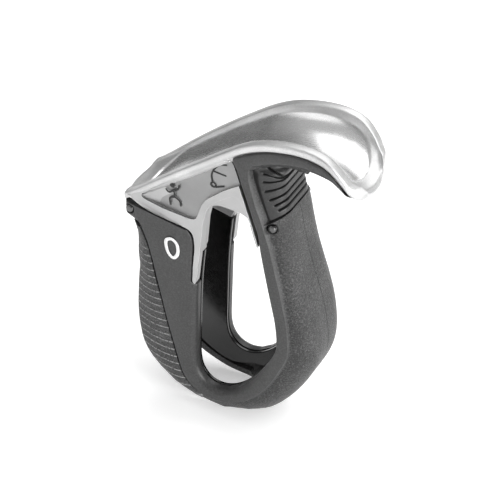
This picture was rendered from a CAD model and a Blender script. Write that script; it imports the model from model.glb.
"""Belay device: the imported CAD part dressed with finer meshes, materials, light and a camera.

Drawing dimensions are millimetres with X from the nose to the thumb horn, Y across the plates
and Z up, on the same datum as the CAD source; place() moves them to the row frame.
"""
import math

import bpy
import bmesh
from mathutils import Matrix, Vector


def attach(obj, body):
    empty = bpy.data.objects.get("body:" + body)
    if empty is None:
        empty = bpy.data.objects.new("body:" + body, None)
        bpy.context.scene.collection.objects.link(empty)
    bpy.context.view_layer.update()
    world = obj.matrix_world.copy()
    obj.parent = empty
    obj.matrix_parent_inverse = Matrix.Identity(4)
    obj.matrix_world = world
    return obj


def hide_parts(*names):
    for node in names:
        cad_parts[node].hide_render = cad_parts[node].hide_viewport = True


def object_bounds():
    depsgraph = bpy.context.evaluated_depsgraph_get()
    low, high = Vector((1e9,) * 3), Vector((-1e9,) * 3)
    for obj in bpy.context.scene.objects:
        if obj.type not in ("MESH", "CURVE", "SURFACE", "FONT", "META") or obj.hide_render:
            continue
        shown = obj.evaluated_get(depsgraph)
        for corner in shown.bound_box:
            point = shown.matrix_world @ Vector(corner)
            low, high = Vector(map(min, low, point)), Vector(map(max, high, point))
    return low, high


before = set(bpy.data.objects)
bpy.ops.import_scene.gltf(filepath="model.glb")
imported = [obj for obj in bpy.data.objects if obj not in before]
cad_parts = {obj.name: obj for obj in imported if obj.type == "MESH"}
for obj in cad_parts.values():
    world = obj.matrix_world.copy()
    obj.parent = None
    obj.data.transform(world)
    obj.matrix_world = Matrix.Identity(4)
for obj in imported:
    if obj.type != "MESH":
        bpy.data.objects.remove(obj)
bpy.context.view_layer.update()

MM = 0.001
WINDOW_CENTRE = (1.5, -9.5)      # X, Z of the carabiner window on the drawing datum

HALF_WIDTH = 10.0                # outside of the plates
FACE_Y = 9.9                     # outside of the steel cheeks
SLOT_HALF = 6.2                  # half-width of the rope slot
SEAT_Y = 7.35                    # inner faces that the liners seat on
LINER_BACK = 7.0
SEAM = 0.06                      # each shell half stops this far from the mid-plane
GAP = 0.32                       # between the shell and the pieces it holds
RIM_FLAT = 2.3                   # width and depth of the channel's lip
RIM_EDGE = 1.6
WEB = 3.2                        # wall of the hollow spine
SUNK = 1.35                      # depth of the pocket for the thumb rest
PAD_TOP = 0.15                   # thumb rest surface below the shell's
CORNER = 6.2                     # corner radius of the spine and where it starts
SIDE_Y = 9.35
FLAT_FROM = 0.86                 # share of the way round the spine where its flat back starts
PLATE_RIM = 0.2                  # share of the plate's depth taken by its outer rim
TIP_PIN = (-26.35, 8.7)
SPINE_PIN = (9.95, 15.3)
PIN_HOLE = 1.3
RIDGE_PITCH = 2.03               # grip ridges, measured up the grip
PANEL_DEPTH = 0.6                # sunk panel on the cheek
FACET_DEPTH = 0.35               # lowered strip around the window's top
INK_Y = FACE_Y - PANEL_DEPTH + 0.02
INK_RELIEF = 0.18                # how flat a printed line is pressed
OUTSIDE = 12                     # Y past every plate, where cutting tools end
NOSE_X = -29.3                   # ends of the channel
TONGUE_X = 30.9

# channel wall, floor line on the mid-plane and outer rim line, each against X
SHEET = [(-29.3, 0.9), (-26.5, 1.2), (-21.0, 2.2), (30.9, 2.2)]
FLOOR = [(-29.3, 11.0), (-26.5, 11.6), (-22, 13.9), (-17, 17.5), (-12, 21.0), (-7, 24.6),
         (-2, 28.0), (3, 31.2), (8, 33.4), (13, 34.7), (18, 34.9), (22, 33.8), (25, 32.1),
         (27.6, 30.5), (29.4, 29.4), (30.9, 29.0)]
RIM = [(-29.3, 11.5), (-27.3, 12.5), (-23, 15.9), (-20.2, 18.3), (-16.3, 21.5), (-11.9, 25.0),
       (-6.4, 29.2), (-0.5, 33.6), (2.8, 35.8), (6.2, 37.5), (9.8, 38.7), (13.7, 39.5),
       (17.3, 39.8), (20.1, 39.6), (22.6, 38.9), (24.4, 37.8), (26.1, 36.1), (28.0, 33.6),
       (29.1, 31.9)]
RIM_HALF = [(-29.3, 7.0), (-27.3, 8.3), (-23, 9.2), (-20.2, 9.6), (-16.3, 10.1), (-11.9, 10.4),
            (-6.4, 10.6), (-0.5, 10.4), (4.0, 10.1), (20.1, 10.0), (24.4, 9.9), (26.1, 9.7),
            (28.0, 9.2), (29.1, 8.4)]


def lerp(a, b, t):
    return a + (b - a) * t


def mix(p, q, t):
    return (lerp(p[0], q[0], t), lerp(p[1], q[1], t))


def clamp(v, low=0.0, high=1.0):
    return min(max(v, low), high)


def smooth(a, b, v):
    t = clamp((v - a) / (b - a))
    return t * t * (3 - 2 * t)


def along(table, x):
    """Smooth value of a table of (x, value) pairs."""
    if x <= table[0][0]:
        return table[0][1]
    if x >= table[-1][0]:
        return table[-1][1]
    i = 0
    while table[i + 1][0] < x:
        i += 1
    (x0, v0), (x1, v1) = table[i], table[i + 1]
    xa, va = table[max(i - 1, 0)]
    xb, vb = table[min(i + 2, len(table) - 1)]
    h = x1 - x0
    m0 = (v1 - va) / (x1 - xa) * h
    m1 = (vb - v0) / (xb - x0) * h
    t = (x - x0) / h
    t2, t3 = t * t, t * t * t
    return ((2 * t3 - 3 * t2 + 1) * v0 + (t3 - 2 * t2 + t) * m0
            + (3 * t2 - 2 * t3) * v1 + (t3 - t2) * m1)


def curve4(a, b, c, d, t):
    """Catmull-Rom blend of four equal-length tuples."""
    return tuple(0.5 * (2 * q + (r - p) * t + (2 * p - 5 * q + 4 * r - s) * t * t
                        + (3 * q - p - 3 * r + s) * t ** 3) for p, q, r, s in zip(a, b, c, d))


def around(rows, i):
    """Row i with the one before and the two after, repeating the end rows."""
    return [rows[clamp(i + k, 0, len(rows) - 1)] for k in (-1, 0, 1, 2)]


def smooth_line(points, parts=4, closed=False):
    """Points with extra ones on a smooth curve through them."""
    out = []
    n = len(points)
    for i in range(n if closed else n - 1):
        if closed:
            four = [points[(i + k) % n] for k in (-1, 0, 1, 2)]
        else:
            four = around(points, i)
        out += [curve4(*four, k / parts) for k in range(parts)]
    return out if closed else out + [tuple(points[-1])]


def round_corners(points, radius, steps=4):
    """Closed outline with each corner rounded."""
    out = []
    n = len(points)
    for i in range(n):
        p, a, b = points[i], points[i - 1], points[(i + 1) % n]
        ra = min(radius, 0.45 * math.dist(p, a))
        rb = min(radius, 0.45 * math.dist(p, b))
        s, e = step_toward(p, a, ra), step_toward(p, b, rb)
        for k in range(steps + 1):
            t = k / steps
            out.append(mix(mix(s, p, t), mix(p, e, t), t))
    return out


def step_toward(p, q, d):
    """Point d millimetres from p on the way to q."""
    n = math.hypot(q[0] - p[0], q[1] - p[1])
    return mix(p, q, d / n)


def place(x, y, z):
    return Vector(((x - WINDOW_CENTRE[0]) * MM, y * MM, (z - WINDOW_CENTRE[1]) * MM))


# ---------------------------------------------------------------- mesh helpers
def finish_mesh(name, bm, mat, angle=40.0, values=None):
    """Object from a bmesh, with optional named values per vertex for its material."""
    bmesh.ops.recalc_face_normals(bm, faces=bm.faces)
    mesh = bpy.data.meshes.new(name)
    bm.to_mesh(mesh)
    bm.free()
    for attribute, rows in (values or {}).items():
        layer = mesh.attributes.new(attribute, "FLOAT", "POINT")
        layer.data.foreach_set("value", [v for row in rows for v in row])
    mesh.polygons.foreach_set("use_smooth", [True] * len(mesh.polygons))
    mesh.set_sharp_from_angle(angle=math.radians(angle))
    mesh.materials.append(mat)
    ob = bpy.data.objects.new(name, mesh)
    bpy.context.scene.collection.objects.link(ob)
    return ob


def loft(name, rings, mat, mirror=False, angle=40.0, values=None):
    """Rings of equal length joined into one closed body with capped ends."""
    sign = -1 if mirror else 1
    bm = bmesh.new()
    rows = [[bm.verts.new(place(x, sign * y, z)) for x, y, z in ring] for ring in rings]
    n = len(rows[0])
    for a, b in zip(rows, rows[1:]):
        for i in range(n):
            j = (i + 1) % n
            bm.faces.new((a[i], a[j], b[j], b[i]))
    bm.faces.new(rows[0])
    bm.faces.new(rows[-1])
    bmesh.ops.recalc_face_normals(bm, faces=bm.faces)
    bmesh.ops.triangulate(bm, faces=bm.faces)
    return finish_mesh(name, bm, mat, angle, values)


def prism(name, outline, y0, y1, mat):
    """Closed outline in X, Z pushed from y0 to y1."""
    bm = bmesh.new()
    low = [bm.verts.new(place(x, y0, z)) for x, z in outline]
    high = [bm.verts.new(place(x, y1, z)) for x, z in outline]
    bm.faces.new(low)
    bm.faces.new(high[::-1])
    n = len(outline)
    for i in range(n):
        bm.faces.new((low[i], high[i], high[(i + 1) % n], low[(i + 1) % n]))
    return finish_mesh(name, bm, mat)


def apply_modifiers(ob):
    """Turns what the modifiers make into the object's own mesh."""
    bpy.context.view_layer.update()
    graph = bpy.context.evaluated_depsgraph_get()
    made = bpy.data.meshes.new_from_object(ob.evaluated_get(graph))
    old = ob.data
    ob.modifiers.clear()
    ob.data = made
    bpy.data.meshes.remove(old)
    made.name = ob.name


def cut(ob, tool):
    """Takes the tool's shape away; the new faces keep the tool's material."""
    mod = ob.modifiers.new("cut", "BOOLEAN")
    mod.operation = "DIFFERENCE"
    mod.solver = "EXACT"
    mod.object = tool
    mod.material_mode = "TRANSFER"
    apply_modifiers(ob)
    bpy.data.objects.remove(tool, do_unlink=True)


def soften(ob, width, segments=3, angle=35.0, edge=None):
    """Rounds the sharp edges by width millimetres, keeps flat faces flat and may tint the edges."""
    mod = ob.modifiers.new("soften", "BEVEL")
    mod.width = width * MM
    mod.segments = segments
    mod.limit_method = "ANGLE"
    mod.angle_limit = math.radians(angle)
    mod.use_clamp_overlap = True
    mod.harden_normals = True
    if edge:
        ob.data.materials.append(edge)
        mod.material = len(ob.data.materials) - 1
    apply_modifiers(ob)


def join(target, others):
    """Adds the other objects' meshes and materials to the target."""
    bpy.ops.object.select_all(action="DESELECT")
    for ob in [target, *others]:
        ob.select_set(True)
    bpy.context.view_layer.objects.active = target
    bpy.ops.object.join()
    return target


def tube(name, points, radius, mat, closed=False, sides=10):
    """Round bead along points in drawing millimetres."""
    curve = bpy.data.curves.new(name, "CURVE")
    curve.dimensions = "3D"
    curve.bevel_depth = radius * MM
    curve.bevel_resolution = sides // 2 - 1
    curve.use_fill_caps = True
    line = curve.splines.new("POLY")
    line.points.add(len(points) - 1)
    for p, q in zip(line.points, points):
        p.co = (*place(*q), 1.0)
    line.use_cyclic_u = closed
    ob = bpy.data.objects.new(name, curve)
    bpy.context.scene.collection.objects.link(ob)
    bpy.context.view_layer.update()
    graph = bpy.context.evaluated_depsgraph_get()
    mesh = bpy.data.meshes.new_from_object(ob.evaluated_get(graph))
    bpy.data.objects.remove(ob, do_unlink=True)
    mesh.polygons.foreach_set("use_smooth", [True] * len(mesh.polygons))
    mesh.materials.clear()
    mesh.materials.append(mat)
    made = bpy.data.objects.new(name, mesh)
    bpy.context.scene.collection.objects.link(made)
    return made


def settle(ob, slot, *nodes):
    """The piece rides on the one body and stands for its CAD node."""
    ob.name = "detailed_" + nodes[0]
    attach(ob, "root")
    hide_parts(*nodes)


# ---------------------------------------------------------------- materials
def new_material(name):
    mat = bpy.data.materials.new(name)
    mat.use_nodes = True
    tree = mat.node_tree
    tree.nodes.clear()
    out = tree.nodes.new("ShaderNodeOutputMaterial")
    bsdf = tree.nodes.new("ShaderNodeBsdfPrincipled")
    tree.links.new(bsdf.outputs["BSDF"], out.inputs["Surface"])
    return mat, tree, bsdf


def object_coords(tree, scale=(1, 1, 1)):
    coords = tree.nodes.new("ShaderNodeTexCoord")
    mapping = tree.nodes.new("ShaderNodeMapping")
    mapping.inputs["Scale"].default_value = scale
    tree.links.new(coords.outputs["Object"], mapping.inputs["Vector"])
    return mapping.outputs["Vector"]


def noise(tree, vector, size_mm, detail=2.0, rough=0.5):
    """Noise whose grains are about size_mm across."""
    node = tree.nodes.new("ShaderNodeTexNoise")
    node.inputs["Scale"].default_value = 1.0 / (size_mm * MM)
    node.inputs["Detail"].default_value = detail
    node.inputs["Roughness"].default_value = rough
    tree.links.new(vector, node.inputs["Vector"])
    return node.outputs["Fac"]


def remap(tree, value, a, b, c, d):
    node = tree.nodes.new("ShaderNodeMapRange")
    node.inputs["From Min"].default_value = a
    node.inputs["From Max"].default_value = b
    node.inputs["To Min"].default_value = c
    node.inputs["To Max"].default_value = d
    tree.links.new(value, node.inputs["Value"])
    return node.outputs["Result"]


def math_node(tree, operation, a, b):
    node = tree.nodes.new("ShaderNodeMath")
    node.operation = operation
    for socket, value in zip(node.inputs, (a, b)):
        if isinstance(value, (int, float)):
            socket.default_value = value
        else:
            tree.links.new(value, socket)
    return node.outputs["Value"]


def ramp(tree, value, stops):
    node = tree.nodes.new("ShaderNodeValToRGB")
    els = node.color_ramp.elements
    while len(els) < len(stops):
        els.new(0.5)
    for el, (pos, grey) in zip(els, stops):
        el.position = pos
        el.color = (grey, grey, grey, 1.0)
    tree.links.new(value, node.inputs["Fac"])
    return node.outputs["Color"]


def mix_colours(tree, factor, a, b):
    node = tree.nodes.new("ShaderNodeMix")
    node.data_type = "RGBA"
    tree.links.new(factor, node.inputs["Factor"])
    tree.links.new(a, node.inputs["A"])
    tree.links.new(b, node.inputs["B"])
    return node.outputs["Result"]


def bump(tree, bsdf, height, depth_mm, strength=1.0):
    node = tree.nodes.new("ShaderNodeBump")
    node.inputs["Distance"].default_value = depth_mm * MM
    if isinstance(strength, (int, float)):
        node.inputs["Strength"].default_value = strength
    else:
        tree.links.new(strength, node.inputs["Strength"])
    tree.links.new(height, node.inputs["Height"])
    tree.links.new(node.outputs["Normal"], bsdf.inputs["Normal"])


def mask_value(tree, name="mask"):
    node = tree.nodes.new("ShaderNodeAttribute")
    node.attribute_name = name
    return node.outputs["Fac"]


def steel_material():
    """Blasted steel that turns to a polished face where mask is 1."""
    mat, tree, bsdf = new_material("polished_steel")
    vec = object_coords(tree)
    polish = mask_value(tree)
    grain = noise(tree, vec, 0.16, 2.0, 0.6)
    cloud = noise(tree, vec, 9.0, 2.0)
    drag = noise(tree, object_coords(tree, (0.12, 1, 0.12)), 0.35, 2.0)
    bsdf.inputs["Metallic"].default_value = 1.0
    blasted = remap(tree, grain, 0.3, 0.7, 0.42, 0.56)
    shiny = remap(tree, drag, 0.3, 0.7, 0.24, 0.31)
    rough = tree.nodes.new("ShaderNodeMix")
    tree.links.new(polish, rough.inputs["Factor"])
    tree.links.new(blasted, rough.inputs["A"])
    tree.links.new(shiny, rough.inputs["B"])
    tree.links.new(rough.outputs["Result"], bsdf.inputs["Roughness"])
    matte = ramp(tree, math_node(tree, "ADD", math_node(tree, "MULTIPLY", grain, 0.6),
                                 math_node(tree, "MULTIPLY", cloud, 0.4)),
                 [(0.3, 0.46), (0.7, 0.80)])
    bright = ramp(tree, cloud, [(0.3, 0.70), (0.7, 0.78)])
    tree.links.new(mix_colours(tree, polish, matte, bright), bsdf.inputs["Base Color"])
    height = math_node(tree, "MULTIPLY", grain,
                       math_node(tree, "SUBTRACT", 1.0, math_node(tree, "MULTIPLY", polish, 0.97)))
    bump(tree, bsdf, height, 0.03, 0.8)
    return mat


def nylon_material(name, smooth_tone, rough_tone, grain_mm, depth, rough, crest=None):
    """Moulded plastic with a spark texture that grows with mask, and worn crests if asked for."""
    mat, tree, bsdf = new_material(name)
    vec = object_coords(tree)
    speck = noise(tree, vec, grain_mm, 2.0, 0.7)
    fine = noise(tree, vec, grain_mm * 0.4, 2.0, 0.6)
    cloud = noise(tree, vec, 8.0, 2.0)
    mask = mask_value(tree)
    tone = math_node(tree, "ADD", math_node(tree, "MULTIPLY", speck, 0.8),
                     math_node(tree, "MULTIPLY", cloud, 0.2))
    plain = ramp(tree, tone, [(0.38, smooth_tone[0]), (0.62, smooth_tone[1])])
    sparked = ramp(tree, tone, [(0.40, rough_tone[0]), (0.55, lerp(*rough_tone, 0.35)),
                                (0.66, rough_tone[1])])
    result = mix_colours(tree, mask, plain, sparked)
    if crest:
        worn = ramp(tree, speck, [(0.38, crest[0]), (0.6, crest[1])])
        result = mix_colours(tree, mask_value(tree, "crest"), result, worn)
    tree.links.new(result, bsdf.inputs["Base Color"])
    tree.links.new(remap(tree, fine, 0.3, 0.7, rough - 0.06, rough + 0.06),
                   bsdf.inputs["Roughness"])
    bump(tree, bsdf, math_node(tree, "ADD", speck, fine), depth, remap(tree, mask, 0, 1, 0.15, 1))
    return mat


def gloss_material():
    mat, tree, bsdf = new_material("gloss_nylon")
    vec = object_coords(tree)
    cloud = noise(tree, vec, 5.0, 2.0)
    fine = noise(tree, vec, 0.8, 2.0)
    tree.links.new(ramp(tree, cloud, [(0.3, 0.002), (0.7, 0.005)]), bsdf.inputs["Base Color"])
    tree.links.new(remap(tree, fine, 0.3, 0.7, 0.16, 0.24), bsdf.inputs["Roughness"])
    bsdf.inputs["Specular IOR Level"].default_value = 0.6
    bump(tree, bsdf, fine, 0.004, 0.3)
    return mat


def ink_material(name, low, high):
    mat, tree, bsdf = new_material(name)
    vec = object_coords(tree)
    grain = noise(tree, vec, 0.2, 2.0)
    tree.links.new(ramp(tree, grain, [(0.3, low), (0.7, high)]), bsdf.inputs["Base Color"])
    tree.links.new(remap(tree, grain, 0.3, 0.7, 0.5, 0.62), bsdf.inputs["Roughness"])
    bump(tree, bsdf, grain, 0.01, 0.4)
    return mat


def cast_material(name, low, high, rough):
    """Plain blasted steel for the cheeks."""
    mat, tree, bsdf = new_material(name)
    vec = object_coords(tree)
    grain = noise(tree, vec, 0.16, 2.0, 0.6)
    cloud = noise(tree, vec, 6.0, 2.0)
    tone = math_node(tree, "ADD", math_node(tree, "MULTIPLY", grain, 0.5),
                     math_node(tree, "MULTIPLY", cloud, 0.5))
    bsdf.inputs["Metallic"].default_value = 1.0
    tree.links.new(ramp(tree, tone, [(0.3, low), (0.7, high)]), bsdf.inputs["Base Color"])
    tree.links.new(remap(tree, grain, 0.3, 0.7, rough - 0.06, rough + 0.06),
                   bsdf.inputs["Roughness"])
    bump(tree, bsdf, grain, 0.02, 0.7)
    return mat


STEEL = steel_material()
CHEEK = cast_material("cast_steel", 0.42, 0.52, 0.5)
PANEL_STEEL = cast_material("panel_steel", 0.30, 0.38, 0.55)
EDGE = cast_material("worn_edge", 0.86, 0.95, 0.34)
PIN = cast_material("pin_steel", 0.10, 0.16, 0.3)
SHELL = nylon_material("matte_nylon", (0.032, 0.050), (0.003, 0.085), 0.42, 0.12, 0.44)
REST = nylon_material("rest_nylon", (0.012, 0.024), (0.004, 0.008), 0.36, 0.05, 0.4)
GRIP = nylon_material("grip_rubber", (0.03, 0.06), (0.022, 0.13), 0.4, 0.10, 0.6, (0.10, 0.60))
GLOSS = gloss_material()
BLACK_INK = ink_material("black_marking", 0.008, 0.016)
WHITE_INK = ink_material("white_marking", 0.86, 0.94)


# ---------------------------------------------------------------- steel channel
# rear skew of the lip, half-width and lip height where they differ at the two ends
SKEW = [(-29.3, -1.4), (-28.2, 0.0), (27.2, 0.0), (28.5, 0.3), (29.8, 0.6), (30.9, 1.1)]
LIP_HALF = ([(-29.3, 7.2), (-28.4, 7.95), (-27.3, 8.4)] + RIM_HALF[2:-2]
            + [(27.2, 9.43), (28.5, 9.0), (29.8, 8.0), (30.9, 6.2)])
LIP = RIM[:-2] + [(27.2, 34.7), (28.5, 33.1), (29.8, 32.0), (30.9, 30.4)]
BASIN_NOSE = (-19.0, -25.2)      # polished basin closes between these X
BASIN_TONGUE = (22.0, 28.0)
BASIN_STEP = 0.45
BASIN_POWER = 2.6                # how square the basin's outline is


def basin(x, y, wi):
    """1 inside the polished basin, 0 on the blasted lip."""
    q = abs(y) / wi
    along_x = 0.0
    if x > BASIN_TONGUE[0]:
        along_x = (x - BASIN_TONGUE[0]) / (BASIN_TONGUE[1] - BASIN_TONGUE[0])
    if x < BASIN_NOSE[0]:
        along_x = (x - BASIN_NOSE[0]) / (BASIN_NOSE[1] - BASIN_NOSE[0])
    r = (q ** BASIN_POWER + along_x ** BASIN_POWER) ** (1 / BASIN_POWER)
    return 1.0 - smooth(0.93, 1.0, r)


def channel_ring(x, pinch=0.0):
    """U section of the channel with a rounded lip, and the polish of each point."""
    skew, w, zr = (along(table, x) for table in (SKEW, LIP_HALF, LIP))
    wi = w - RIM_FLAT
    zf = along(FLOOR, x)
    sheet = along(SHEET, x)
    top, under = [], []

    def plan(y):
        return x - skew * (y / w) ** 2

    def arc(a, reach, low, high):
        k = 1 - math.cos(math.radians(a))
        y = reach * math.sin(math.radians(a))
        return (plan(y), y, lerp(low, high, k))

    for y, z in ((w, -RIM_EDGE), (w, -0.55), (w - 0.08, -0.25), (w - 0.28, -0.06), (w - 0.6, 0),
                 (lerp(w, wi, 0.55), 0.05), (wi + 0.4, 0), (wi + 0.15, -0.06)):
        top.append((plan(y), y, zr + z - pinch * 0.5 * (z + RIM_EDGE), 0.0))
    for i in range(31):
        px, py, pz = arc(87 * (1 - (i / 30) ** 1.15), wi, zf, zr)
        polish = basin(px, py, wi)
        pz -= BASIN_STEP * polish * (1 - 0.6 * (py / wi) ** 4) + pinch * 0.5 * sheet
        top.append((px, py, pz, polish))
    for i in range(14):
        px, py, pz = arc(84 - 84 * i / 13, w - 0.45, zf - sheet, zr - RIM_EDGE)
        under.append((px, py, pz + pinch * 0.5 * sheet, 0.0))
    ring = [(px, -py, pz, m) for px, py, pz, m in top] + top[-2::-1]
    return ring + under + [(px, -py, pz, m) for px, py, pz, m in under[-2::-1]]


def build_trough():
    """The open channel, lofted from nose to tongue."""
    xs = [NOSE_X, -29.1, -28.8]
    xs += [lerp(-28.4, 30.1, i / 190) for i in range(191)] + [30.4, 30.65, 30.8, TONGUE_X]
    rings = []
    for x in xs:
        pinch = max(smooth(30.1, TONGUE_X, x) * 0.75, smooth(-28.6, NOSE_X, x) * 0.6)
        rings.append(channel_ring(x, pinch))
    polish = [[p[3] for p in ring] for ring in rings]
    return loft("trough", [[p[:3] for p in ring] for ring in rings], STEEL, angle=60.0,
                values={"mask": polish})


WINDOW_TOP = [(4.4, 17.0), (2.8, 17.75), (-2.0, 18.05), (-3.6, 17.75), (-4.9, 16.9), (-5.9, 15.4)]


def skin_outline():
    top = [(x, along(RIM, x) - 0.9) for x in (-26.6, -25, -23, -21, -18, -15, -12, -9, -6, -3,
                                              -0.8)]
    right = [(0.9, 30.0), (2.55, 25.0), (4.2, 20.0), (5.75, 15.3), (6.75, 12.0), (7.2, 10.3)]
    edge = [(7.05, 9.9), (6.85, 10.1), (6.1, 12.5), (5.3, 15.2)]
    leg_in = smooth_line([(-6.7, 12.0), (-7.5, 5.0), (-8.5, -3.5), (-8.75, -5.4)], 3)
    foot = smooth_line([(-8.85, -5.9), (-9.1, -6.3), (-9.45, -6.25), (-9.75, -5.7)], 3)
    leg_out = smooth_line([(-9.6, -3.4), (-9.45, -1.0), (-9.0, 3.6), (-9.15, 6.6), (-9.6, 8.0),
                           (-10.6, 8.8), (-12.6, 9.25), (-17.7, 9.9), (-22.7, 10.5),
                           (-25.2, 11.3), (-26.9, 12.3)], 3)
    return top + right + edge + smooth_line(WINDOW_TOP, 2) + leg_in + foot + leg_out


def core_outline():
    top = [(x, along(FLOOR, x) - 0.2 + 0.25 * (along(RIM, x) - along(FLOOR, x)))
           for x in (-26.2, -22, -17, -12, -7, -2)]
    right = [(0.2, 28.2), (2.1, 24.8), (4.0, 19.6), (5.4, 15.6)]
    left = [(-6.7, 12.0), (-7.5, 5.0), (-7.6, 2.6)]
    low = [(-8.6, 2.6), (-8.9, 6.8), (-9.5, 8.3), (-10.6, 9.1), (-12.6, 9.6), (-17.7, 10.2),
           (-22.7, 10.8), (-25.3, 11.5)]
    return top + right + smooth_line(WINDOW_TOP, 2) + left + low


def backing_outline():
    top = [(x, along(FLOOR, x) - 0.5 + 0.12 * (along(RIM, x) - along(FLOOR, x)))
           for x in (-25.0, -22, -17, -12, -7, -2)]
    right = [(0.4, 27.6), (2.3, 24.6), (4.1, 19.4), (5.1, 16.0)]
    left = [(-6.7, 12.0), (-7.5, 4.0)]
    low = [(-8.2, 2.4), (-14.0, 3.6), (-20.5, 6.4), (-24.6, 10.6)]
    return top + right + smooth_line(WINDOW_TOP, 2) + left + low


PANEL_TOP = [(x, along(RIM, x) - RIM_EDGE - 0.2) for x in (-23.2, -20, -16, -12, -8, -4, -2)]
PANEL_LOW = [(-0.6, 31.0), (1.6, 31.2), (4.2, 28.0), (3.4, 25.9), (1.0, 24.4), (-1.4, 22.7),
             (-3.6, 20.7), (-5.7, 18.9), (-6.9, 16.9), (-7.6, 14.6), (-8.5, 12.4), (-9.8, 11.9),
             (-16.0, 12.4), (-22.6, 13.1)]
PANEL = PANEL_TOP + PANEL_LOW
FACET = [(5.2, 14.6), (5.3, 16.6), (3.8, 18.9), (2.6, 21.8), (1.2, 22.2), (-1.0, 20.7),
         (-3.4, 18.9), (-5.0, 17.2), (-6.0, 15.4), (-5.0, 14.2)]


NARROW_FROM = -16.2              # the lip narrows from here to the nose, by this slope
NARROW_SLOPE = 0.1486


def draw_in(ob, s):
    """Moves the outer face in towards the nose, where the lip narrows."""
    for v in ob.data.vertices:
        x, y = v.co.x / MM + WINDOW_CENTRE[0], abs(v.co.y) / MM
        drop = max(0.0, NARROW_SLOPE * (NARROW_FROM - x) - 0.35) * smooth(8.3, 9.2, y)
        v.co.y = s * (y - drop) * MM


def build_cheek(s, tag):
    """Outer skin with its sunk panel, core and backing of one side."""
    skin = prism("skin_" + tag, skin_outline(), s * 8.2, s * FACE_Y, CHEEK)
    panel_y, facet_y = s * (FACE_Y - PANEL_DEPTH), s * (FACE_Y - FACET_DEPTH)
    panel = round_corners(PANEL, 1.3)
    cut(skin, prism("panel_" + tag, panel, panel_y, s * OUTSIDE, PANEL_STEEL))
    facet = round_corners(FACET, 0.8)
    cut(skin, prism("facet_" + tag, facet, facet_y, s * OUTSIDE, CHEEK))
    soften(skin, 0.3, edge=EDGE)
    draw_in(skin, s)
    core = prism("core_" + tag, core_outline(), s * 6.6, s * 8.9, CHEEK)
    soften(core, 0.25)
    backing = prism("backing_" + tag, backing_outline(), s * SLOT_HALF, s * LINER_BACK, CHEEK)
    soften(backing, 0.12)
    return [skin, core, backing]


def build_steel():
    body = build_trough()
    join(body, build_cheek(-1, "near") + build_cheek(1, "far"))
    body.name = "steel_channel"
    settle(body, "polished_steel", "brake_channel")


build_steel()


# ---------------------------------------------------------------- stations around the window
# window edge, crease and outer edge of each station, going round from the nose to the horn;
# the horn stations add the X on the mid-plane under the channel and the half-width
PLATE = [
    ((-10.9, 8.35), (-24.8, 10.1), (-27.9, 10.5)),
    ((-9.85, 6.9), (-24.6, 7.2), (-28.0, 7.2)),
    ((-9.45, 4.5), (-23.2, 5.0), (-26.7, 4.6)),
    ((-9.7, 0.5), (-21.5, 1.0), (-25.7, 0.7)),
    ((-10.0, -3.5), (-20.2, -4.0), (-25.8, -4.6)),
    ((-10.15, -6.4), (-19.5, -7.8), (-25.6, -8.5)),
    ((-8.85, -7.0), (-19.1, -9.6), (-25.8, -10.4)),
    ((-9.1, -12.0), (-18.0, -14.4), (-26.2, -15.4)),
    ((-9.3, -18.0), (-16.8, -20.2), (-26.5, -21.4)),
    ((-9.5, -24.0), (-15.4, -26.0), (-26.2, -27.1)),
    ((-9.6, -30.0), (-14.0, -31.6), (-25.0, -32.6)),
    ((-8.9, -33.7), (-12.6, -35.8), (-22.1, -37.0)),
    ((-6.9, -36.3), (-10.2, -38.6), (-16.9, -41.2)),
    ((-4.2, -37.1), (-6.2, -40.3), (-10.0, -44.0)),
    ((-1.4, -36.5), (-1.2, -39.8), (-3.6, -44.8)),
]
SPINE = [
    ((1.6, -34.6), (3.4, -37.6), (3.3, -43.7)),
    ((4.8, -31.2), (7.2, -34.0), (9.1, -40.6)),
    ((7.7, -26.8), (10.2, -29.6), (14.1, -34.9)),
    ((10.2, -22.2), (12.8, -24.4), (17.9, -28.4)),
    ((11.7, -18.6), (14.7, -19.6), (20.0, -22.9)),
    ((11.9, -15.0), (15.0, -15.2), (20.5, -17.6)),
    ((11.4, -10.0), (14.4, -9.0), (19.8, -11.4)),
    ((10.5, -5.5), (13.5, -4.4), (18.5, -5.6)),
    ((9.5, -0.6), (12.5, 0.6), (16.8, 0.0)),
    ((8.55, 4.3), (11.3, 5.4), (15.2, 5.6)),
    ((7.65, 9.3), (10.2, 10.4), (13.9, 11.5)),
    ((7.1, 13.2), (9.1, 14.0), (13.0, 16.0)),
    ((6.0, 16.6), (8.0, 17.6), (12.1, 19.6)),
    ((4.6, 21.0), (6.7, 21.3), (11.4, 22.8)),
    ((3.25, 25.0), (5.5, 25.4), (11.2, 25.8)),
    ((1.95, 29.0), (4.8, 28.8), (11.8, 28.6)),
]
HORN = [
    ((0.9, 31.9), (5.3, 31.0), (13.0, 30.4), 9.6, 10.0),
    ((2.9, 33.4), (6.8, 32.1), (14.9, 31.1), 11.4, 10.0),
    ((6.3, 35.2), (9.2, 33.2), (16.8, 31.4), 13.2, 10.0),
    ((9.9, 36.5), (12.0, 34.1), (18.8, 31.3), 15.2, 10.0),
    ((13.7, 37.3), (14.9, 34.8), (20.8, 30.9), 17.4, 10.0),
    ((17.2, 37.6), (17.9, 35.2), (22.7, 30.2), 19.6, 10.0),
    ((20.1, 37.2), (20.8, 35.0), (24.5, 29.3), 21.9, 9.95),
    ((22.6, 36.5), (23.4, 34.4), (26.2, 28.3), 24.2, 9.8),
    ((24.9, 34.5), (25.6, 32.8), (27.7, 27.3), 26.3, 9.55),
    ((26.6, 32.3), (27.2, 31.2), (28.9, 26.5), 27.9, 9.2),
]
FIRST_HORN = len(SPINE)
STATIONS = [s + (0.0, HALF_WIDTH) for s in SPINE] + HORN
PAD_FROM = 11.68                 # thumb rest along the spine and horn stations
PAD_TO = FIRST_HORN + 4.2


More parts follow.
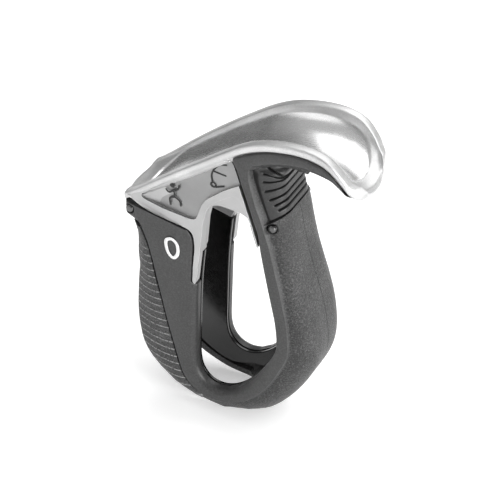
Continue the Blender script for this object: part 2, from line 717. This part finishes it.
def taper(x):
    """Outer half-width of the plates, which draw in towards the nose."""
    return HALF_WIDTH - 0.1 * max(0.0, -18.0 - x)


def station(t):
    """Inner, crease, outer, mid X and half-width at a fractional spine or horn station."""
    i = clamp(math.floor(t), 0, len(STATIONS) - 2)
    k = t - i
    pick = around(STATIONS, i)
    pts = tuple(curve4(pick[0][j], pick[1][j], pick[2][j], pick[3][j], k) for j in range(3))
    return pts + (lerp(pick[1][3], pick[2][3], k), lerp(pick[1][4], pick[2][4], k))


def steel_under(x, y):
    """Height of the channel's underside."""
    w = along(RIM_HALF, x) - 0.5
    s = min(abs(y) / w, 0.999)
    k = 1 - math.sqrt(1 - s * s)
    return lerp(along(FLOOR, x) - along(SHEET, x), along(RIM, x) - RIM_EDGE, k)


def spine_skin(t, u, sunk):
    """Point over the outside of the spine; u runs from the crease ledge 0 to the mid-plane 1."""
    _, crease, outer, _, _ = station(t)
    reach = math.dist(outer, crease) - 0.45
    start = math.asin(max(CORNER - reach, 0.0) / CORNER)
    r = CORNER - sunk
    core = SIDE_Y - CORNER
    if u > FLAT_FROM:
        back = (u - FLAT_FROM) / 0.14
        return (step_toward(outer, crease, sunk), lerp(core, SEAM, back))
    k = u / FLAT_FROM
    if k < 0.12:
        p0 = step_toward(crease, outer, 0.45)
        y0 = core + r * math.cos(start)
        k1, a1 = 0.12, lerp(start, math.pi / 2, 0.12)
        p1 = step_toward(outer, crease, sunk + r * (1 - math.sin(a1)))
        y1 = core + r * math.cos(a1)
        return (mix(p0, p1, k / k1), lerp(y0, y1, k / k1))
    a = lerp(start, math.pi / 2, k)
    return (step_toward(outer, crease, sunk + r * (1 - math.sin(a))), core + r * math.cos(a))


# u, share of the way from ledge to outer edge, and angle round the horn in degrees
HORN_ARC = [(0.0, 0.0, 80.1), (0.18, 0.20, 64), (0.36, 0.42, 50), (0.55, 0.64, 36),
            (0.74, 0.84, 22), (0.88, 0.96, 11), (1.0, 1.0, 1.0)]


def horn_skin(t, u, sunk):
    """Point under the horn; u runs from the crease ledge 0 to the mid-plane 1."""
    _, crease, outer, xm, w = station(t)
    goal = (xm, steel_under(xm, 0))
    ledge = step_toward(crease, outer, 0.5)
    i = 0
    while i < len(HORN_ARC) - 2 and HORN_ARC[i + 1][0] < u:
        i += 1
    four = around(HORN_ARC, i)
    span = four[2][0] - four[1][0]
    _, q, a = curve4(*four, clamp((u - four[1][0]) / span))
    p = step_toward(mix(ledge, outer, clamp(q)), goal, sunk)
    y = (9.6 - sunk * 0.6) * w / 10 * math.sin(math.radians(a))
    return (p, max(y, SEAM))


def skin(t, u, sunk=0.0):
    """Outer surface of spine and horn, blended where one becomes the other."""
    k = smooth(FIRST_HORN - 1.0, FIRST_HORN, t)
    if k <= 0.0:
        return spine_skin(t, u, sunk)
    if k >= 1.0:
        return horn_skin(t, u, sunk)
    a, b = spine_skin(t, u, sunk), horn_skin(t, u, sunk)
    return (mix(a[0], b[0], k), lerp(a[1], b[1], k))


SKIN_STEPS = [i / 22 for i in range(23)]


def wall_section(t, sunk):
    """Closed section of the hollow spine or the horn, on the near side."""
    inner, crease, outer, xm, w = station(t)
    k = clamp((t - 1.0) / 3.0)
    spine = t < FIRST_HORN - 0.5
    if spine:
        pts = [(inner, SEAT_Y), (inner, lerp(8.3, 9.3, k)), (inner, lerp(8.9, 9.55, k)),
               (step_toward(inner, crease, lerp(0.45, 0.12, k)), lerp(9.4, 9.8, k)),
               (step_toward(inner, crease, lerp(0.85, 0.26, k)), lerp(9.75, 9.95, k)),
               (step_toward(inner, crease, lerp(1.3, 0.5, k)), HALF_WIDTH),
               (mix(inner, crease, 0.6), HALF_WIDTH),
               (step_toward(crease, inner, 0.35), HALF_WIDTH),
               (step_toward(crease, inner, 0.12), HALF_WIDTH - 0.06), (crease, 9.75)]
    else:
        def under(f):
            x = lerp(xm, inner[0], f)
            return ((x, steel_under(x, f * w) - GAP - 0.12), f * w)

        pts = [under(0.93), (inner, w - 0.4), (step_toward(inner, crease, 0.1), w - 0.2),
               (step_toward(inner, crease, 0.25), w - 0.06), (step_toward(inner, crease, 0.45), w),
               (mix(inner, crease, 0.4), w), (mix(inner, crease, 0.6), w),
               (step_toward(crease, inner, 0.4), w - 0.04),
               (step_toward(crease, inner, 0.15), w - 0.14), (crease, w - 0.4)]
    pts += [skin(t, u, sunk) for u in SKIN_STEPS]
    if spine:
        back = step_toward(outer, crease, WEB)
        pts += [(back, SEAM), (back, SEAT_Y), (mix(back, inner, 0.5), SEAT_Y)]
    else:
        pts += [under(SEAM / w), under(0.45), under(0.75)]
    grain = [0.1] * 10 + [1.0] * len(SKIN_STEPS) + [0.1] * 3
    return [(p[0], -y, p[1]) for p, y in pts], grain


def resample(points, n):
    """n points spread evenly by index over a polyline of points."""
    out = []
    for i in range(n):
        at = i * (len(points) - 1) / (n - 1)
        j = min(int(at), len(points) - 2)
        (p, y), (q, v) = points[j], points[j + 1]
        out.append((mix(p, q, at - j), lerp(y, v, at - j)))
    return out


def plate_section(inner, crease, outer, bevel, levels, wall):
    """Closed section of the flat plate, on the near side, matching wall_section's points."""
    rim = mix(outer, inner, PLATE_RIM)
    lip = step_toward(rim, inner, 0.4)
    ledge = step_toward(crease, outer, 0.35)
    b = bevel / 1.3
    pts = [(inner, SEAT_Y), (inner, lerp(9.6, 8.2, b)), (inner, lerp(9.75, 8.75, b)),
           (step_toward(inner, crease, bevel * 0.25), lerp(9.88, 9.25, b)),
           (step_toward(inner, crease, bevel * 0.6), lerp(9.96, 9.72, b)),
           (step_toward(inner, crease, bevel), lerp(9.99, 9.95, b)),
           (step_toward(inner, crease, bevel * 1.5), HALF_WIDTH),
           (step_toward(crease, inner, 0.35), HALF_WIDTH),
           (step_toward(crease, inner, 0.12), HALF_WIDTH - 0.05), (crease, 9.75)]
    back = [(ledge, levels[0]), (mix(ledge, outer, 0.35), levels[1]),
            (mix(ledge, outer, 0.7), levels[2]), (mix(ledge, outer, 0.9), levels[3]),
            (outer, levels[4]), (outer, wall), (rim, wall)]
    pts += resample(back, len(SKIN_STEPS))
    pts += [(lip, SEAT_Y), (mix(lip, inner, 0.33), SEAT_Y), (mix(lip, inner, 0.66), SEAT_Y)]
    return [(p[0], -min(y, taper(p[0])), p[1]) for p, y in pts]


def fine_plate():
    """Plate stations with extra ones on a smooth curve through them, below the steel leg."""
    rows = [(s, 0.3, (9.6, 9.4, 9.0, 8.4, 7.7), SEAT_Y - 0.02) for s in PLATE[:2]]
    levels = (8.75, 8.1, 7.4, 6.95, 6.65)
    rows += [(s, 0.3, levels, SLOT_HALF) for s in PLATE[2:6]]
    low = PLATE[6:]
    for i in range(len(low) - 1):
        four = around(low, i)
        for k in (0.0, 0.2, 0.4, 0.6, 0.8):
            s = tuple(curve4(four[0][j], four[1][j], four[2][j], four[3][j], k) for j in range(3))
            rows.append((s, 1.3, levels, SLOT_HALF))
    rows.append((low[-1], 1.3, levels, SLOT_HALF))
    return [plate_section(*s, bevel, lv, wall) for s, bevel, lv, wall in rows]


def steps(a, b, n):
    return [lerp(a, b, i / n) for i in range(n + 1)]


def disc(at, r, n=40):
    turn = 2 * math.pi / n
    return [(at[0] + r * math.cos(turn * i), at[1] + r * math.sin(turn * i)) for i in range(n)]


def build_shell(name, far):
    """Plate, hollow spine and horn of one side."""
    plate = fine_plate()
    ts = [(t, 0.0) for t in steps(0.0, PAD_FROM - 0.1, 100)]
    ts += [(t, SUNK) for t in steps(PAD_FROM, PAD_TO, 90)]
    ts += [(t, 0.0) for t in steps(PAD_TO + 0.1, FIRST_HORN + len(HORN) - 1, 50)]
    spine = [wall_section(t, s) for t, s in ts]
    first, start = plate[-1], spine[0][0]
    bridge = [[tuple(lerp(p[j], q[j], k) for j in range(3)) for p, q in zip(first, start)]
              for k in steps(0.2, 0.8, 3)]
    flat_grain = [0.15] * 10 + [1.0] * len(SKIN_STEPS) + [0.15] * 3
    grain = [flat_grain] * (len(plate) + len(bridge)) + [m[1] for m in spine]
    rings = plate + bridge + [m[0] for m in spine]
    ob = loft(name, rings, SHELL, far, 35.0, {"mask": grain})
    s = 1 if far else -1
    for tag, at in (("tip", TIP_PIN), ("spine", SPINE_PIN)):
        cut(ob, prism(tag + "_hole", disc(at, PIN_HOLE), s * 7.7, s * OUTSIDE, SHELL))
    settle(ob, "matte_nylon", name)


build_shell("near_shell", False)
build_shell("far_shell", True)


# ---------------------------------------------------------------- liners, grips, thumb rest, pins
def liner_outline():
    inside = [(-7.9, 1.9), (-8.35, -2.0), (-8.75, -6.5)]
    inside += [s[0] for s in PLATE[7:] + SPINE[:12]]
    outside = [step_toward(s[2], s[1], WEB + GAP) for s in SPINE[:12]]
    rim = []
    for inner, _, outer in PLATE[3:-1]:
        rim.append(step_toward(mix(outer, inner, PLATE_RIM), inner, 0.8))
    rim.append(step_toward(PLATE[-1][2], PLATE[-1][0], 4.6))
    top = [(-20.4, 5.7), (-14.0, 3.1)]
    line = smooth_line(inside, 5) + smooth_line(outside[::-1], 4)
    return line + smooth_line(rim[::-1], 4) + top


def build_liner(name, s):
    ob = prism(name, liner_outline(), s * SLOT_HALF, s * LINER_BACK, GLOSS)
    soften(ob, 0.22)
    settle(ob, "gloss_nylon", name)


def build_grip(name, far):
    """Side grip with a narrow rounded ridge at every pitch up its height."""
    rows = PLATE[2:14]
    rings, grain, crests = [], [], []
    last = len(rows) - 1.1
    for t in steps(0.1, last, 520):
        j = min(int(t), len(rows) - 2)
        pick = around(rows, j)
        crease, outer = [curve4(*(p[m] for p in pick), t - j) for m in (1, 2)]
        z = mix(crease, outer, 0.5)[1]
        wave = abs((z / RIDGE_PITCH) % 1.0 - 0.5) * RIDGE_PITCH
        peak = math.exp(-(wave / 0.13) ** 2) * smooth(0.9, 1.6, t)
        full = min(smooth(0.0, 1.2, t), smooth(last + 0.1, last - 0.8, t))
        ledge = step_toward(crease, outer, 0.35)
        end = step_toward(outer, ledge, 0.15)
        start = step_toward(ledge, outer, 0.15)
        base = [(start, 9.05), (mix(start, end, 0.5), 8.1), (end, 6.95)]
        ring = [(p[0], -y, p[1]) for p, y in base]
        over = []
        for k in steps(0.0, 1.0, 14):
            y = lerp(9.64, 7.1, k ** 1.35) + 0.38 * math.sin(math.pi * k) * full
            rise = 0.2 * peak * math.sin(math.pi * clamp(k, 0.04, 0.97)) ** 0.4
            p = mix(start, end, k)
            over.append((p[0], -(y + rise), p[1]))
        rings.append(ring + over[::-1])
        grain.append([1.0] * (3 + len(over)))
        crests.append([0.0] * 3 + [peak] * len(over))
    ob = loft(name, rings, GRIP, far, 50.0, {"mask": grain, "crest": crests})
    settle(ob, "grip_rubber", name)


GROOVES = [12.12, 12.55, 13.05, 13.7, 14.45, 15.3, 16.3, 17.3, 18.2, 19.0, 19.7]


def rest_point(t, u):
    """Thumb rest surface: it dips inside its border, and grooves cross it."""
    edge = smooth(0.0, 0.16, u) * lerp(0.4, 1.0, smooth(PAD_TO, PAD_TO - 0.5, t))
    sunk = lerp(1.1, PAD_TOP + 0.4 * (1 - smooth(0.15, 0.7, u)), edge)
    sunk -= 0.1 * smooth(0.3, 0.8, u)
    groove = 0.0
    for g in GROOVES:
        fan = smooth(14.0, 17.0, g)
        centre = g - 2.0 * fan * smooth(0.12, 0.8, u)
        width = lerp(0.062, 0.10, fan)
        start = lerp(0.42, 0.17, smooth(11.7, 13.7, g))
        stop = lerp(1.2, 0.55, smooth(15.5, 17.5, g))
        inside = smooth(start, start + 0.05, u) * smooth(stop, stop - 0.1, u)
        groove = max(groove, math.exp(-((t - centre) / width) ** 2) * inside)
    return skin(t, u, sunk + 0.55 * groove), groove


def build_rest():
    us = [0.0, 0.03, 0.06, 0.09, 0.12, 0.15, 0.18] + steps(0.22, 1.0, 34)
    rings, values = [], []
    for t in steps(PAD_FROM + 0.04, PAD_TO - 0.06, 420):
        near = [rest_point(t, u) for u in us]
        deep = [skin(t, u, SUNK - 0.2) for u in us[::4]]
        over = [(p[0], -y, p[1]) for (p, y), _ in near]
        under = [(p[0], -y, p[1]) for p, y in deep]
        ring = over + [(x, -y, z) for x, y, z in over[::-1]]
        ring += [(x, -y, z) for x, y, z in under] + under[::-1]
        rings.append(ring)
        marks = [g for _, g in near]
        values.append(marks + marks[::-1] + [0.0] * (2 * len(under)))
    ob = loft("thumb_rest", rings, REST, False, 60.0, {"mask": values})
    settle(ob, "grip_rubber", "thumb_rest")


def build_pin(name, at, s, y0, y1):
    """Domed pin head standing in its hole."""
    rings = []
    for y, r in ((y0, 1.0), (y1 - 0.5, 1.0), (y1 - 0.3, 0.97), (y1 - 0.15, 0.86), (y1 - 0.05, 0.66),
                 (y1, 0.35), (y1, 0.1)):
        rings.append([(x, s * y, z) for x, z in disc(at, r)])
    settle(loft(name, rings, PIN, False, 50.0), "pin_steel", name)


for side, sign in (("near", -1), ("far", 1)):
    build_liner(side + "_liner", sign)
    build_grip(side + "_grip", sign > 0)
    build_pin(side + "_tip_pin", TIP_PIN, sign, 8.0, 9.4)
    build_pin(side + "_spine_pin", SPINE_PIN, sign, 7.9, 8.95)
build_rest()


# ---------------------------------------------------------------- printed markings
def stroke(name, points, width, y, s, mat, closed=False):
    """Printed line of the given width lying on the face at y."""
    line = smooth_line(points, 4, closed)
    ob = tube(name, [(x, s * y, z) for x, z in line], width / 2, mat, closed)
    for v in ob.data.vertices:
        v.co.y = s * y * MM + (v.co.y - s * y * MM) * INK_RELIEF
    return ob


CLIMBER = [[(-14.5, 18.4), (-14.2, 17.4), (-14.1, 16.2)],
           [(-12.9, 19.9), (-13.3, 18.6), (-14.3, 18.1), (-15.6, 17.2), (-16.4, 17.9)],
           [(-14.1, 16.3), (-15.4, 15.6), (-15.2, 13.8)],
           [(-14.1, 16.3), (-12.9, 15.6), (-12.6, 14.2)]]
ROPE = [[(-0.7, 29.5), (-2.5, 28.9), (-3.9, 27.4), (-4.6, 25.6), (-4.4, 23.9)],
        [(-3.7, 22.6), (-2.9, 22.9), (-1.4, 23.6)], [(-4.1, 26.8), (-2.4, 26.6), (-0.9, 26.5)]]


def build_markings(s, tag):
    """Climber and rope-end symbols printed in the panel, and a plain ring-shaped mark."""
    lines = [stroke("line", pts, 0.46, INK_Y, s, BLACK_INK) for pts in CLIMBER]
    lines.append(stroke("head", disc((-14.7, 19.3), 0.3, 8), 0.6, INK_Y, s, BLACK_INK, True))
    symbol = join(lines[0], lines[1:])
    symbol.name = tag + "_climber_symbol"
    ends = [stroke("line", pts, 0.4, INK_Y, s, BLACK_INK) for pts in ROPE]
    ends.append(stroke("eye", disc((-4.2, 23.1), 0.6, 10), 0.4, INK_Y, s, BLACK_INK, True))
    rope = join(ends[0], ends[1:])
    rope.name = tag + "_rope_symbol"
    link = [(-16.4, 3.6), (-14.9, 4.6), (-13.5, 3.4), (-13.4, 0.9), (-14.6, -0.7), (-16.0, 0.6)]
    mark = stroke(tag + "_link_mark", link, 0.85, HALF_WIDTH + 0.01, s, WHITE_INK, True)
    for ob in (symbol, rope, mark):
        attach(ob, "root")


for side, sign in (("near", -1), ("far", 1)):
    build_markings(sign, side)


# ---------------------------------------------------------------- stage
def build_stage():
    lo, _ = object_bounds()
    bm = bmesh.new()
    bmesh.ops.create_grid(bm, x_segments=1, y_segments=1, size=2.0)
    bmesh.ops.translate(bm, verts=bm.verts, vec=(0, 0, lo.z - 0.0002))
    mat, tree, bsdf = new_material("pale_floor")
    bsdf.inputs["Base Color"].default_value = (0.9, 0.9, 0.9, 1)
    bsdf.inputs["Emission Color"].default_value = (1, 1, 1, 1)
    bsdf.inputs["Emission Strength"].default_value = 0.35
    bsdf.inputs["Roughness"].default_value = 0.9
    floor = finish_mesh("floor", bm, mat)
    world = bpy.data.worlds.new("studio")
    bpy.context.scene.world = world
    world.use_nodes = True
    tree = world.node_tree
    coords = tree.nodes.new("ShaderNodeTexCoord")
    split = tree.nodes.new("ShaderNodeSeparateXYZ")
    tree.links.new(coords.outputs["Generated"], split.inputs["Vector"])
    sky = ramp(tree, remap(tree, split.outputs["Z"], -0.2, 1.0, 0.0, 1.0),
               [(0.0, 0.45), (0.22, 0.22), (0.5, 0.5), (0.8, 1.0)])
    tree.links.new(sky, tree.nodes["Background"].inputs["Color"])
    tree.nodes["Background"].inputs["Strength"].default_value = 0.55
    bpy.context.scene.view_settings.view_transform = "Standard"


def area_light(name, at, aim, size, power):
    data = bpy.data.lights.new(name, "AREA")
    data.shape = "RECTANGLE"
    data.size, data.size_y = size
    data.energy = power
    ob = bpy.data.objects.new(name, data)
    bpy.context.scene.collection.objects.link(ob)
    ob.location = at
    ob.rotation_euler = (Vector(aim) - Vector(at)).to_track_quat("-Z", "Y").to_euler()


VIEW_AZIMUTH = math.radians(28)
VIEW_ELEVATION = math.radians(38)
VIEW_DISTANCE = 0.450
PIXELS_PER_MM = 4.356
PICTURE_WIDTH = 500


def build_camera():
    back = Vector((math.sin(VIEW_AZIMUTH) * math.cos(VIEW_ELEVATION),
                   -math.cos(VIEW_AZIMUTH) * math.cos(VIEW_ELEVATION), math.sin(VIEW_ELEVATION)))
    data = bpy.data.cameras.new("camera")
    data.sensor_width = 36.0
    data.lens = PIXELS_PER_MM * 1000 * VIEW_DISTANCE * data.sensor_width / PICTURE_WIDTH
    data.clip_start, data.clip_end = 0.01, 10.0
    cam = bpy.data.objects.new("camera", data)
    bpy.context.scene.collection.objects.link(cam)
    cam.location = place(0, 0, 0) + back * VIEW_DISTANCE
    cam.rotation_euler = (-back).to_track_quat("-Z", "Y").to_euler()
    bpy.context.scene.camera = cam


build_stage()
build_camera()
area_light("overhead", (0.40, 0.75, 1.45), (0, 0, 0), (2.6, 2.0), 28.0)
area_light("right", (0.80, -0.18, 0.12), (0, 0, 0), (0.3, 0.5), 8.0)
area_light("left_front", (-0.5, -0.7, 0.5), (0, 0, 0), (0.6, 0.6), 1.2)
